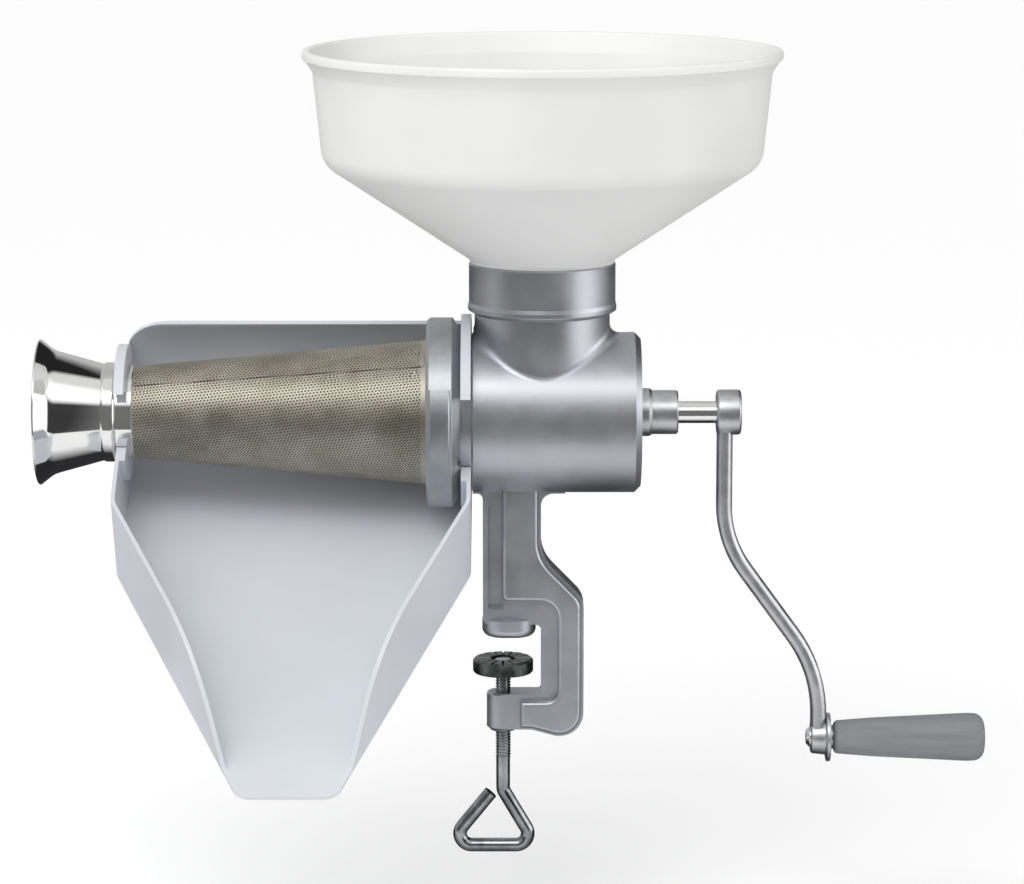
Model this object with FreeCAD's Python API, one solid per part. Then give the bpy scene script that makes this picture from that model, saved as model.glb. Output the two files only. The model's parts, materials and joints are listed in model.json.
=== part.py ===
import FreeCAD, Part
import math
import os

# Hand cranked tomato strainer that clamps to a table. All sizes are in millimetres.
# X runs along the crank shaft towards the crank, and Z points up.
# The origin is on the upper jaw's face, where it rests on the table top.

V = FreeCAD.Vector

# Clearances
running_gap = 0.05
moving_gap = 0.3
seat_gap = 0.1

# How far cutting shapes pass the faces they cut
past = 1.0

# Broken edges. Those under bevel_limit are flat bevels on turned pieces, larger ones are round
fine_break = 0.4
edge_break = 0.8
soft_break = 1.6
bevel_limit = 10.0

# Shaft
shaft_height = 114.0
shaft_radius = 5.5
shaft_tip = 14.0
shaft_collar_radius = shaft_radius + 3.5
shaft_collar_length = 3.0

# Barrel of the casting, closed at the crank side and open at the screen side
barrel_radius = 40.0
barrel_wall = 4.0
barrel_left = -16.0
barrel_right = 68.0
barrel_end_wall = 6.0
barrel_end_round = 3.0
mouth_step = 1.5
mouth_length = 17.0
mouth_wall = 4.0

# Neck and hopper collar of the casting, from the shaft axis upwards
neck_x = 19.0
neck_radius = 33.6
neck_wall = 4.1
neck_blend = 5.0
collar_radius = 36.4
collar_bottom = 52.2
collar_top = 75.8
collar_wall = 3.2
collar_seat = 57.0
collar_bead = 0.5
collar_bead_height = 2.0

# Clamp leg of the casting
leg_left = -10.6
leg_right = 18.5
leg_flare = 5.0
spine_right = 40.0
plate_depth = 16.0
rib_depth = 24.0
rib_left = -1.0
rib_throat_x = 27.0
rib_throat_top = 19.5
rib_round = 2.2
rib_step = 1.5
shoulder_low = 20.0
shoulder_high = 42.0
throat_x = 18.6
throat_top = 7.0
throat_depth = 29.0
arm_bottom = -47.2
arm_right = 14.0
heel_left = 26.0
heel_bottom = -50.5
jaw_radius = 11.0
jaw_length = 5.0
jaw_height = 9.0
jaw_round = 4.0
boss_radius = 8.25
boss_bottom = -48.8
boss_chamfer = 2.0
pocket_depth = 3.0
pocket_margin = 2.6
pocket_rise = 8.0

# Casting roundings seen from the front
small_round = 3.0
middle_round = 6.0
large_round = 12.0
shoulder_round = 20.0

# Locking ring and its bayonet studs
ring_depth = 8.8
ring_left = -38.4
ring_right = -21.5
ring_chamfer = 4.1
ring_chamfer_drop = 6.3
ring_lip = 2.6
ring_lip_room = 0.6
lug_height = 1.6
lug_foot = 2.0
lug_angle = 45.0
stud_radius = 3.0
stud_x = -28.5
stud_height = 3.7
stud_sunk = 0.8
slot_room = 0.6
twist_angle = 25.0

# Screen, its gasket, its small end collar and the exit flare
sheet = 0.8
screen_step = 2.2
screen_small_radius = 21.7
screen_left = -197.0
gasket_thickness = 2.0
band_left = -192.5
band_right = -184.0
band_wall = 0.62
bead_height = 1.3
bead_length = 6.0
bead_drop = 0.6
flare_mouth_x = -224.5
flare_mouth_radius = 31.0
flare_lip_x = -231.5
flare_lip_radius = 36.4
flare_lip_lean = 0.5
flare_curve = 9.0
flare_wall = 1.0
seam_width = 9.0
seam_height = 0.5
seam_angle = 35.0
seam_margin = 1.0

# Spiral
spiral_right = 46.0
spiral_left = -186.0
spiral_gap = 0.8
spiral_pitch = 40.0
flight_thickness = 3.4
flight_inset = 4.5
hub_wall = 7.5
core_big_radius = 20.0
core_big_x = -40.0
core_tip_radius = 10.5
taper_lead = 3.0
drive_pin_radius = 2.0
drive_pin_x = 38.0
spring_wire = 0.9
spring_turns = 2
spring_room = 0.4
washer_thickness = 1.5

# Bushing in the closed end of the barrel
bushing_wall = 3.5
bushing_flange_wall = 6.5
bushing_flange = 5.0
bushing_nose_wall = 5.5
bushing_right = 86.8
seal_x = 80.0
seal_width = 3.0
seal_wall = 2.3

# Hopper, from the shaft axis upwards
hopper_wall = 2.4
hopper_rim_radius = 118.3
hopper_rim_top = 181.0
hopper_rim_height = 4.5
hopper_side_radius = 113.2
hopper_side_top = 170.5
hopper_corner_radius = 108.6
hopper_corner_height = 125.5
hopper_corner_round = 9.0
hopper_throat_radius = 36.0
hopper_foot = 1.5

# Chute: hood behind the screen, sloping floor and side walls
chute_wall = 2.0
chute_slope = 30.0
hood_room = 2.7
hood_angle = 23.0
hood_corner = 24.0
floor_length = 220.0
floor_full_width_to = 64.0
floor_corner = 14.0
lip_corner = 9.0
wall_height = 47.0
wall_full_to = 136.0
wall_end = 202.0
wall_fall_low = 34.0
wall_fall_high = 2.0
wall_pull_low = 14.0
wall_pull_high = 22.0
lip_left = -124.0
lip_right = -78.0
clip_width = 4.9
clip_inset = 0.5
clip_left_wall = 10.2
clip_right_wall = 10.2
clip_mouth_high = 14.0

# Crank arm
crank_left = 106.0
crank_eye_length = 12.3
crank_eye_wall = 5.8
crank_radius = 167.0
crank_arm_x = 110.3
crank_end_x = 159.0
crank_arm_width = 7.8
crank_arm_bevel = 2.2
crank_depth = 13.0
bend_high_part = 0.392
bend_low_part = 0.792
bend_high_round = 56.0
bend_low_round = 70.0
end_eye_length = 9.9
end_eye_wall = 5.75
end_flange_height = 3.4
end_flange = 2.2
set_screw_radius = 2.5
set_screw_sunk = 0.6

# Handle
pin_radius = 3.25
rivet_wall = 1.75
rivet_height = 2.2
pin_head_wall = 2.35
pin_head_height = 3.0
handle_washer = 1.4
handle_washer_wall = 2.75
grip_length = 76.3
grip_small_radius = 8.3
grip_waist = 1.4
grip_large_radius = 12.2
grip_end_drop = 0.4
grip_end_length = 8.0
grip_round = 6.0
grip_recess_room = 0.6
grip_recess = 6.0

# Clamp screw and pad, on an upright axis at clamp_x
clamp_x = -0.5
thread_radius = 3.9
rod_radius = 3.5
thread_bottom = -64.0
neck_pin_radius = 2.6
pad_radius = 15.2
pad_top = -11.8
pad_rim = 7.0
pad_height = 8.2
pad_foot_radius = 9.0
pad_chamfer = 2.2
pad_recess_room = 1.4
pad_recess = 2.5
pad_teeth = 16
tooth_depth = 1.2
tooth_half_width = 0.9
screw_head_wall = 2.0
screw_head_height = 1.9
loop_top = -80.5
loop_bottom = -109.5
loop_right = 17.0
loop_left = -28.5
loop_end_x = -6.3
loop_end_z = -82.0
loop_top_round = 5.0
loop_round = 6.0

# Places that follow from the sizes above
axis_point = V(0, 0, shaft_height)
bore_radius = barrel_radius - barrel_wall
mouth_radius = barrel_radius - mouth_step
mouth_left = barrel_left - mouth_length
mouth_bore = mouth_radius - mouth_wall
inner_end = barrel_right - barrel_end_wall
throat_radius = neck_radius - neck_wall
seat_radius = collar_radius - collar_wall
throat_bottom = -throat_depth
ring_radius = mouth_radius + ring_depth
ring_bore = mouth_radius + moving_gap
stud_top = mouth_radius + stud_height
gasket_left = mouth_left - gasket_thickness
screen_right = gasket_left
screen_rim = mouth_radius - moving_gap
screen_big_radius = mouth_radius - screen_step
screen_taper = (screen_big_radius - screen_small_radius) / (screen_right - sheet - screen_left)
band_radius = screen_small_radius + (band_right - screen_left) * screen_taper + band_wall
bead_radius = band_radius + bead_height
flare_waist = bead_radius - bead_drop
hub_radius = shaft_radius + hub_wall
bushing_radius = shaft_radius + bushing_wall
seal_radius = shaft_radius + seal_wall
hood_radius = ring_radius + hood_room
chute_left = band_left + clip_inset
chute_right = barrel_left - moving_gap
crank_right = crank_left + crank_eye_length
end_eye_left = crank_end_x - crank_arm_width / 2
end_eye_right = end_eye_left + end_eye_length
grip_left = end_eye_right + handle_washer + moving_gap
grip_right = grip_left + grip_length
crank_end_z = shaft_height - crank_radius
crank_eye_radius = shaft_radius + crank_eye_wall
end_eye_radius = pin_radius + end_eye_wall
pin_head_radius = pin_radius + pin_head_wall
screw_head_radius = neck_pin_radius + screw_head_wall
pad_recess_radius = screw_head_radius + pad_recess_room
pad_bottom = pad_top - pad_height


def outline(corners, closed=True, round_from=0.0):
    """Wire in the XZ plane through corners (x, z, rounding). Roundings under round_from become bevels."""
    count = len(corners)
    points = [V(x, 0, z) for x, z, rounding in corners]
    entries = []
    exits = []
    middles = []
    for i in range(count):
        point = points[i]
        rounding = corners[i][2]
        at_end = not closed and i in (0, count - 1)
        if rounding == 0 or at_end:
            entries.append(point)
            exits.append(point)
            middles.append(None)
            continue
        arriving = (point - points[i - 1]).normalize()
        leaving = (points[(i + 1) % count] - point).normalize()
        turn = arriving.getAngle(leaving)
        reach = rounding * math.tan(turn / 2)
        inward = (leaving - arriving).normalize()
        entries.append(point - arriving * reach)
        exits.append(point + leaving * reach)
        middles.append(point + inward * (rounding / math.cos(turn / 2) - rounding))
        if rounding < round_from:
            middles[i] = None
    edges = []
    for i in range(count):
        if middles[i] is not None:
            edges.append(Part.Arc(entries[i], middles[i], exits[i]).toShape())
        elif (exits[i] - entries[i]).Length > 1e-6:
            edges.append(Part.LineSegment(entries[i], exits[i]).toShape())
        if i == count - 1 and not closed:
            break
        following = entries[(i + 1) % count]
        if (following - exits[i]).Length > 1e-6:
            edges.append(Part.LineSegment(exits[i], following).toShape())
    return Part.Wire(edges)


def turned(corners):
    """Solid of revolution about the shaft axis from corners (x, radius, rounding)."""
    points = [(x, above(radius), rounding) for x, radius, rounding in corners]
    profile = outline(points, round_from=bevel_limit)
    return Part.Face(profile).revolve(axis_point, V(1, 0, 0), 360)


def turned_upright(corners, centre_x):
    """Solid of revolution about a vertical axis from corners (radius, z, rounding)."""
    points = [(centre_x + radius, z, rounding) for radius, z, rounding in corners]
    profile = outline(points, round_from=bevel_limit)
    return Part.Face(profile).revolve(V(centre_x, 0, 0), V(0, 0, 1), 360)


def plate(corners, depth):
    """Flat plate from an outline in the XZ plane, centred on Y = 0."""
    face = Part.Face(outline(corners))
    face.translate(V(0, -depth / 2, 0))
    return face.extrude(V(0, depth, 0))


def rod_x(left, right, radius):
    """Round rod along the shaft axis."""
    return Part.makeCylinder(radius, right - left, V(left, 0, shaft_height), V(1, 0, 0))


def disc_z(bottom, top, radius, centre_x=0.0):
    """Round upright cylinder."""
    return Part.makeCylinder(radius, top - bottom, V(centre_x, 0, bottom), V(0, 0, 1))


def above(height):
    """World Z of a height above the shaft axis."""
    return shaft_height + height


def screen_radius(x):
    """Outer radius of the screen cone at x."""
    return screen_small_radius + (x - screen_left) * screen_taper


def stud_places():
    """Angles of the two studs, seen along X, measured from +Y towards +Z."""
    return [0.0, 180.0]


def body_casting():
    barrel = turned([
        (mouth_left, 0, 0),
        (mouth_left, mouth_radius, edge_break),
        (barrel_left, mouth_radius, 0),
        (barrel_left, barrel_radius, edge_break),
        (barrel_right, barrel_radius, barrel_end_round),
        (barrel_right, 0, 0)])
    collar = turned_upright([
        (0, above(collar_bottom - collar_bead_height), 0),
        (neck_radius, above(collar_bottom - collar_bead_height), 0),
        (collar_radius + collar_bead, above(collar_bottom), fine_break),
        (collar_radius + collar_bead, above(collar_bottom + collar_bead_height), fine_break),
        (collar_radius, above(collar_bottom + 2 * collar_bead_height), 0),
        (collar_radius, above(collar_top), edge_break),
        (0, above(collar_top), 0)], neck_x)
    solid = barrel.fuse([blended_neck(), collar, clamp_leg()])
    bore = turned([
        (mouth_left - past, 0, 0),
        (mouth_left - past, mouth_bore, 0),
        (barrel_left, mouth_bore, 0),
        (barrel_left + mouth_step, bore_radius, 0),
        (inner_end, bore_radius, barrel_end_round),
        (inner_end, 0, 0)])
    throat = disc_z(above(0), above(collar_top) + past, throat_radius, neck_x)
    seat = disc_z(above(collar_seat), above(collar_top) + past, seat_radius, neck_x)
    bushing_hole = rod_x(inner_end - past, barrel_right + past, bushing_radius)
    screw_hole = disc_z(boss_bottom - past, throat_bottom + past, thread_radius + running_gap, clamp_x)
    cutters = [bore, throat, seat, bushing_hole, screw_hole]
    cutters += [stud(angle) for angle in stud_places()]
    return solid.cut(cutters).removeSplitter()


def blended_neck():
    """Neck with its rounding into the barrel, cut off just inside the barrel's ends."""
    barrel = rod_x(barrel_left - barrel_radius, barrel_right + barrel_radius, barrel_radius)
    joined = barrel.fuse(disc_z(above(0), above(collar_bottom), neck_radius, neck_x))
    seams = [edge for edge in joined.Edges if where_neck_meets_barrel(edge)]
    joined = joined.makeFillet(neck_blend, seams)
    left = barrel_left + edge_break
    room = Part.makeBox(barrel_right - barrel_end_round - left, 2 * barrel_radius, 2 * barrel_radius,
                        V(left, -barrel_radius, shaft_height))
    return joined.common(room)


def where_neck_meets_barrel(edge):
    """True for an edge whose middle lies on both the neck and the barrel."""
    point = edge.valueAt((edge.FirstParameter + edge.LastParameter) / 2)
    from_neck = math.hypot(point.x - neck_x, point.y) - neck_radius
    from_barrel = math.hypot(point.y, point.z - shaft_height) - barrel_radius
    return abs(from_neck) < 1e-3 and abs(from_barrel) < 1e-3


def clamp_leg():
    """T shaped leg below the barrel, the C of the clamp, its upper jaw and its threaded boss."""
    top = above(-bore_radius) + past
    below_barrel = above(-barrel_radius)
    back = plate([
        (leg_left - leg_flare, top, 0),
        (leg_left - leg_flare, below_barrel, 0),
        (leg_left, below_barrel, small_round),
        (leg_left, throat_top, small_round),
        (throat_x, throat_top, small_round),
        (throat_x, throat_bottom, soft_break),
        (0, throat_bottom, 0),
        (0, arm_bottom, 0),
        (arm_right, arm_bottom, middle_round),
        (heel_left, heel_bottom, middle_round),
        (spine_right, heel_bottom, large_round),
        (spine_right, shoulder_low, large_round),
        (leg_right, shoulder_high, shoulder_round),
        (leg_right, below_barrel, middle_round),
        (leg_right + large_round, below_barrel, 0),
        (leg_right + large_round, top, 0)], plate_depth)
    rib = plate([
        (rib_left, top, 0),
        (rib_left, rib_throat_top, small_round),
        (rib_throat_x, rib_throat_top, large_round - small_round),
        (rib_throat_x, throat_bottom - small_round, middle_round),
        (boss_radius, throat_bottom - small_round, 0),
        (boss_radius, arm_bottom + rib_step, 0),
        (arm_right, arm_bottom + rib_step, middle_round),
        (heel_left, heel_bottom + rib_step, middle_round),
        (spine_right - rib_step, heel_bottom + rib_step, large_round - rib_step),
        (spine_right - rib_step, shoulder_low - rib_step / 2, large_round - rib_step),
        (leg_right - rib_step, shoulder_high - rib_step / 2, shoulder_round),
        (leg_right - rib_step, top, 0)], rib_depth)
    rib = rib.makeFillet(rib_round, [edge for edge in rib.Edges if on_rib_face(edge, top)])
    boss = turned_upright([
        (0, boss_bottom, 0),
        (boss_radius - boss_chamfer, boss_bottom, 0),
        (boss_radius, boss_bottom + boss_chamfer, 0),
        (boss_radius, throat_bottom, edge_break),
        (0, throat_bottom, 0)], clamp_x)
    return back.cut(side_pockets()).fuse([rib, upper_jaw(), boss])


def upper_jaw():
    """Jaw with rounded ends and a flat face that rests on the table top."""
    jaw = disc_z(0, jaw_height, jaw_radius)
    jaw = jaw.fuse(disc_z(0, jaw_height, jaw_radius, jaw_length))
    jaw = jaw.fuse(Part.makeBox(jaw_length, 2 * jaw_radius, jaw_height, V(0, -jaw_radius, 0)))
    jaw = jaw.removeSplitter()
    return jaw.makeFillet(jaw_round, [edge for edge in jaw.Edges if edge.BoundBox.ZMax < 1e-3])


def on_rib_face(edge, top):
    """True for an edge of the rib's front or back face, but not for the level one inside the barrel."""
    box = edge.BoundBox
    on_face = box.YLength < 1e-6 and abs(abs(box.YMin) - rib_depth / 2) < 1e-6
    return on_face and box.ZMin < top - 1e-3


def side_pockets():
    """Two shallow pockets in the leg's flange, one on each face, left of the rib."""
    left = leg_left + pocket_margin
    right = rib_left + fine_break
    low = throat_top + pocket_rise
    high = above(-barrel_radius) - middle_round
    corners = [
        (left, low, soft_break),
        (right, low, 0),
        (right, high, 0),
        (left, high, soft_break)]
    pockets = []
    for side in (-1, 1):
        pocket = plate(corners, pocket_depth)
        pocket.translate(V(0, side * (plate_depth - pocket_depth) / 2, 0))
        pockets.append(pocket)
    return Part.Compound(pockets)


def stud(angle):
    """One bayonet stud, set in the barrel's mouth and standing out of it."""
    foot = mouth_bore + stud_sunk
    pin = Part.makeCylinder(stud_radius, stud_top - foot, V(stud_x, foot, shaft_height), V(0, 1, 0))
    pin.rotate(axis_point, V(1, 0, 0), angle)
    return pin


def bayonet_studs():
    return Part.Compound([stud(angle) for angle in stud_places()])


def locking_ring():
    """Ring with two outer lugs and two L shaped slots that turn onto the studs."""
    lip_bore = screen_big_radius + ring_lip_room
    ring = turned([
        (ring_left, lip_bore, 0),
        (ring_left, ring_radius, soft_break),
        (ring_right - ring_chamfer, ring_radius, fine_break),
        (ring_right, ring_radius - ring_chamfer_drop, 0),
        (ring_right, ring_bore, 0),
        (ring_left + ring_lip, ring_bore, 0),
        (ring_left + ring_lip, lip_bore, 0)])
    lug_left = ring_left + soft_break
    lug_right = ring_right - ring_chamfer - edge_break
    lug = turned([
        (lug_left, ring_radius - lug_foot, 0),
        (lug_left, ring_radius + lug_height, edge_break),
        (lug_right, ring_radius + lug_height, edge_break),
        (lug_right, ring_radius - lug_foot, 0)])
    for angle in stud_places():
        ring = ring.fuse(lug.common(sector(angle - lug_angle / 2, lug_angle)))
    slot_half = stud_radius + slot_room / 2
    slot_floor = stud_top + slot_room
    groove = turned([
        (stud_x - slot_half, ring_bore - past, 0),
        (stud_x - slot_half, slot_floor, 0),
        (stud_x + slot_half, slot_floor, 0),
        (stud_x + slot_half, ring_bore - past, 0)])
    entry = turned([
        (stud_x, ring_bore - past, 0),
        (stud_x, slot_floor, 0),
        (ring_right + past, slot_floor, 0),
        (ring_right + past, ring_bore - past, 0)])
    half_stud = math.degrees(math.asin(slot_half / mouth_radius))
    for angle in stud_places():
        ring = ring.cut(groove.common(sector(angle - half_stud, 2 * half_stud + twist_angle)))
        ring = ring.cut(entry.common(sector(angle + twist_angle - half_stud, 2 * half_stud)))
    return ring.removeSplitter()


def sector(start, sweep):
    """Wedge about the shaft axis, from a start angle and through a sweep, +Y towards +Z."""
    reach = 3 * ring_radius
    face = Part.makePlane(2 * reach, reach, V(-reach, 0, shaft_height), V(0, 0, 1))
    face.rotate(axis_point, V(1, 0, 0), start)
    return face.revolve(axis_point, V(1, 0, 0), sweep)


def screen_gasket():
    return turned([
        (gasket_left, mouth_bore + moving_gap, 0),
        (gasket_left, screen_rim, 0),
        (mouth_left, screen_rim, 0),
        (mouth_left, mouth_bore + moving_gap, 0)])


def screen_cone():
    rim_left = screen_right - sheet
    cone = turned([
        (screen_right, screen_big_radius - sheet, 0),
        (screen_right, screen_rim, 0),
        (rim_left, screen_rim, 0),
        (rim_left, screen_big_radius, 0),
        (screen_left, screen_small_radius, 0),
        (screen_left, screen_small_radius - sheet, 0)])
    seam_left = band_right + seam_margin
    seam_right = ring_left - seam_margin
    seam = turned([
        (seam_left, screen_radius(seam_left) - sheet / 2, 0),
        (seam_left, screen_radius(seam_left) + seam_height, 0),
        (seam_right, screen_radius(seam_right) + seam_height, 0),
        (seam_right, screen_radius(seam_right) - sheet / 2, 0)])
    strip = Part.makeBox(seam_right - seam_left + 2 * past, seam_width, 2 * screen_big_radius,
                         V(seam_left - past, -seam_width / 2, shaft_height))
    strip.rotate(axis_point, V(1, 0, 0), seam_angle)
    return cone.fuse(seam.common(strip)).removeSplitter()


def screen_band():
    """Collar round the screen's small end, which the chute's left clip holds."""
    return turned([
        (band_left, screen_radius(band_left) + seat_gap, 0),
        (band_left, band_radius, fine_break),
        (band_right, band_radius, fine_break),
        (band_right, screen_radius(band_right) + seat_gap, 0)])


def exit_flare():
    """Trumpet of thin sheet with a bead where it sits on the screen's small end."""
    bead_left = band_left - bead_length
    return turned([
        (band_left, screen_radius(band_left) + seat_gap, 0),
        (band_left, bead_radius, edge_break),
        (bead_left, bead_radius, edge_break),
        (bead_left - flare_wall, flare_waist, fine_break),
        (flare_mouth_x, flare_mouth_radius, flare_curve),
        (flare_lip_x, flare_lip_radius, fine_break / 2),
        (flare_lip_x - flare_lip_lean, flare_lip_radius - flare_wall, fine_break / 2),
        (flare_mouth_x - flare_lip_lean, flare_mouth_radius - flare_wall, flare_curve),
        (bead_left - flare_wall, flare_waist - flare_wall, 0),
        (bead_left, screen_radius(bead_left) + seat_gap, 0)])


def spiral():
    """Core with one helical flight that fills the barrel and tapers with the screen."""
    core = turned([
        (spiral_right, 0, 0),
        (spiral_right, hub_radius, 0),
        (0, hub_radius, 0),
        (core_big_x, core_big_radius, 0),
        (spiral_left, core_tip_radius, soft_break),
        (spiral_left, 0, 0)])
    flight_radius = mouth_bore - spiral_gap
    taper_start = screen_right - taper_lead
    flight_left = spiral_left + flight_inset
    flight_right = spiral_right - flight_inset
    envelope = turned([
        (flight_right, 0, 0),
        (flight_right, flight_radius, 0),
        (taper_start, flight_radius, 0),
        (flight_left, screen_radius(flight_left) - sheet - spiral_gap, 0),
        (flight_left, 0, 0)])
    inner = core_tip_radius / 2
    outer = flight_radius + past
    half = flight_thickness / 2
    profile = [(inner, -half), (outer, -half / 2), (outer, half / 2), (inner, half)]
    ribbon = helix_along_shaft(profile, inner, spiral_pitch, spiral_right - spiral_left, spiral_left)
    solid = core.fuse(ribbon.common(envelope))
    socket = rod_x(shaft_tip - past, spiral_right + past, shaft_radius + running_gap)
    return solid.cut([socket, spiral_drive_pin()]).removeSplitter()


def helix_along_shaft(profile, radius, pitch, length, start_x):
    """Solid swept by a profile of (radius, offset) corners along a helix about the shaft axis."""
    path = Part.makeLongHelix(pitch, length, radius)
    corners = [V(distance, 0, offset) for distance, offset in profile + profile[:1]]
    sweep = Part.BRepOffsetAPI.MakePipeShell(path)
    sweep.setBiNormalMode(V(0, 0, 1))
    sweep.add(Part.makePolygon(corners))
    sweep.build()
    sweep.makeSolid()
    solid = sweep.shape()
    solid.rotate(V(0, 0, 0), V(0, 1, 0), 90)
    solid.translate(V(start_x, 0, shaft_height))
    return solid


def spiral_drive_pin():
    length = 2 * (hub_radius - fine_break)
    return Part.makeCylinder(drive_pin_radius, length, V(drive_pin_x, 0, shaft_height - length / 2),
                             V(0, 0, 1))


def collar_left():
    """Left face of the shaft's collar, next to the spring."""
    return inner_end - washer_thickness - shaft_collar_length


def spiral_spring():
    """Coil spring between the spiral's hub and the shaft's collar."""
    room = collar_left() - spiral_right
    radius = shaft_radius + spring_wire + spring_room
    pitch = (room - 2 * spring_wire) / spring_turns
    profile = [(radius - spring_wire, -spring_wire), (radius + spring_wire, -spring_wire),
               (radius + spring_wire, spring_wire), (radius - spring_wire, spring_wire)]
    return helix_along_shaft(profile, radius, pitch, pitch * spring_turns, spiral_right + spring_wire)


def thrust_washer():
    left = inner_end - washer_thickness
    ring = rod_x(left, inner_end, shaft_collar_radius + soft_break)
    return ring.cut(rod_x(left - past, inner_end + past, shaft_radius + running_gap))


def drive_shaft():
    shaft = turned([
        (shaft_tip, 0, 0),
        (shaft_tip, shaft_radius, edge_break),
        (collar_left(), shaft_radius, 0),
        (collar_left(), shaft_collar_radius, fine_break),
        (inner_end - washer_thickness, shaft_collar_radius, fine_break),
        (inner_end - washer_thickness, shaft_radius, 0),
        (crank_right, shaft_radius, edge_break),
        (crank_right, 0, 0)])
    return shaft.cut(spiral_drive_pin())


def shaft_bushing():
    flange_radius = shaft_radius + bushing_flange_wall
    nose_radius = shaft_radius + bushing_nose_wall
    flange_right = barrel_right + bushing_flange
    bushing = turned([
        (inner_end, shaft_radius + running_gap, 0),
        (inner_end, bushing_radius, 0),
        (barrel_right, bushing_radius, 0),
        (barrel_right, flange_radius, edge_break),
        (flange_right, flange_radius, soft_break),
        (flange_right + edge_break, nose_radius, 0),
        (bushing_right, nose_radius, edge_break),
        (bushing_right, shaft_radius + running_gap, fine_break)])
    return bushing.cut(seal_ring(shaft_radius))


def seal_ring(inside):
    """Plain ring in the place of the seal, with an inside radius."""
    half = seal_width / 2
    return rod_x(seal_x - half, seal_x + half, seal_radius).cut(
        rod_x(seal_x - seal_width, seal_x + seal_width, inside))


def shaft_seal():
    return seal_ring(shaft_radius + running_gap)


def hopper():
    """Moulded bowl with a thick rim, and a spigot that drops into the collar."""
    seat = above(collar_top)
    foot = above(collar_seat) + moving_gap
    spigot = seat_radius - moving_gap
    cone_run = hopper_corner_radius - hopper_throat_radius
    cone_rise = above(hopper_corner_height) - seat - hopper_foot
    thick = hopper_wall * math.hypot(cone_run, cone_rise) / cone_run
    return turned_upright([
        (spigot, foot, fine_break),
        (spigot, seat, 0),
        (hopper_throat_radius, seat, 0),
        (hopper_throat_radius, seat + hopper_foot, 0),
        (hopper_corner_radius, above(hopper_corner_height), hopper_corner_round),
        (hopper_side_radius, above(hopper_side_top), soft_break),
        (hopper_rim_radius, above(hopper_rim_top - hopper_rim_height), soft_break),
        (hopper_rim_radius, above(hopper_rim_top), soft_break),
        (hopper_side_radius, above(hopper_rim_top), soft_break),
        (hopper_side_radius - hopper_wall, above(hopper_side_top), soft_break),
        (hopper_corner_radius - hopper_wall, above(hopper_corner_height) + thick / 2,
         hopper_corner_round - hopper_wall),
        (spigot - hopper_wall, seat + thick, soft_break),
        (spigot - hopper_wall, foot, fine_break)], neck_x)


def plan_view(inset):
    """Upright prism over the chute's plan outline, drawn in by an inset on every side."""
    reach = 2 * hood_radius
    slant = floor_length - floor_full_width_to
    lip_round = lip_corner if inset == 0 else 0
    lean_left = math.hypot(slant, lip_left - chute_left) / slant
    lean_right = math.hypot(slant, chute_right - lip_right) / slant
    corners = [
        (chute_left + inset, reach, 0),
        (chute_left + inset, -floor_full_width_to, floor_corner),
        (lip_left + inset * lean_left, -floor_length, lip_round),
        (lip_right - inset * lean_right, -floor_length, lip_round),
        (chute_right - inset, -floor_full_width_to, floor_corner),
        (chute_right - inset, reach, 0)]
    face = Part.Face(outline(corners))
    face.rotate(V(0, 0, 0), V(1, 0, 0), -90)
    face.translate(V(0, 0, shaft_height - reach))
    return face.extrude(V(0, 0, 2 * reach))


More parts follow.
